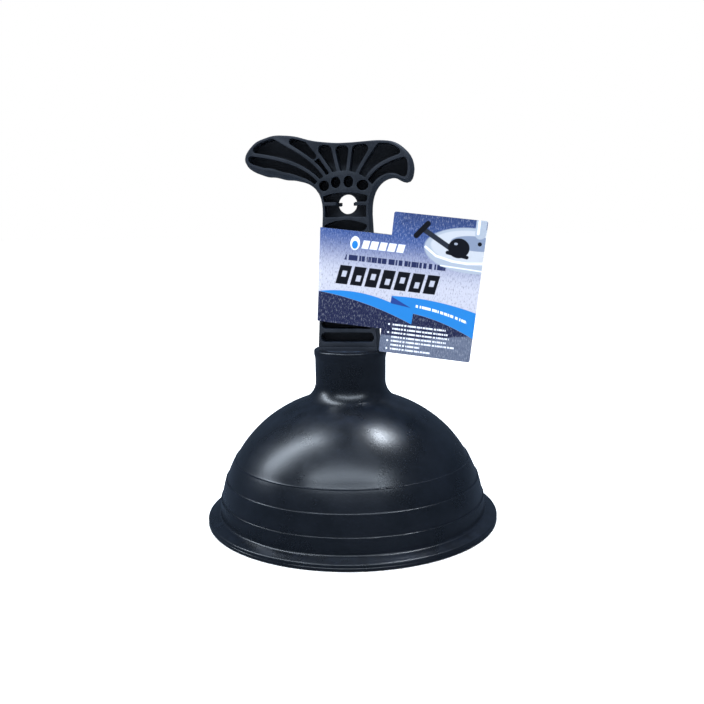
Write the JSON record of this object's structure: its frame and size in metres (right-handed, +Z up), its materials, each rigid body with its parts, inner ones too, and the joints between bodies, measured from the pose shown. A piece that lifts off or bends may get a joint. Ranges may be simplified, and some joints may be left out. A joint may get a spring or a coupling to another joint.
{
  "type": "sink plunger",
  "caption": "Hand plunger with a banded rubber bell and sealing flange, a ribbed T handle plugged into its neck, and a printed card sleeve round the shank.",
  "frame": {"origin": "middle of the cup's rim plane, on the cup's axis, at the bottom of the plunger", "axes": "+Z up the handle, +X towards the grip's short arm, -Y out of the palm face that the card's front leaf covers"},
  "size_m": [0.152, 0.152, 0.1965],
  "materials": {
    "rubber": "satin moulded rubber",
    "handle_plastic": "fine matt moulded plastic",
    "printed_card": "gloss-varnished printed card"
  },
  "bodies": {
    "cup": {"rubber_cup": "rubber"},
    "handle": {"handle": "handle_plastic"},
    "card": {"card_sleeve": "printed_card"}
  },
  "joints": [
    {"name": "plunge", "type": "slide", "parent": "cup", "child": "handle", "axis": [0, 0, 1], "range_m": [-0.025, 0], "stiffness_N_per_m": 2000, "deforming": ["rubber_cup"]},
    {"name": "card_slide", "type": "slide", "parent": "handle", "child": "card", "axis": [0, 0, 1], "range_m": [0, 0.009]}
  ]
}
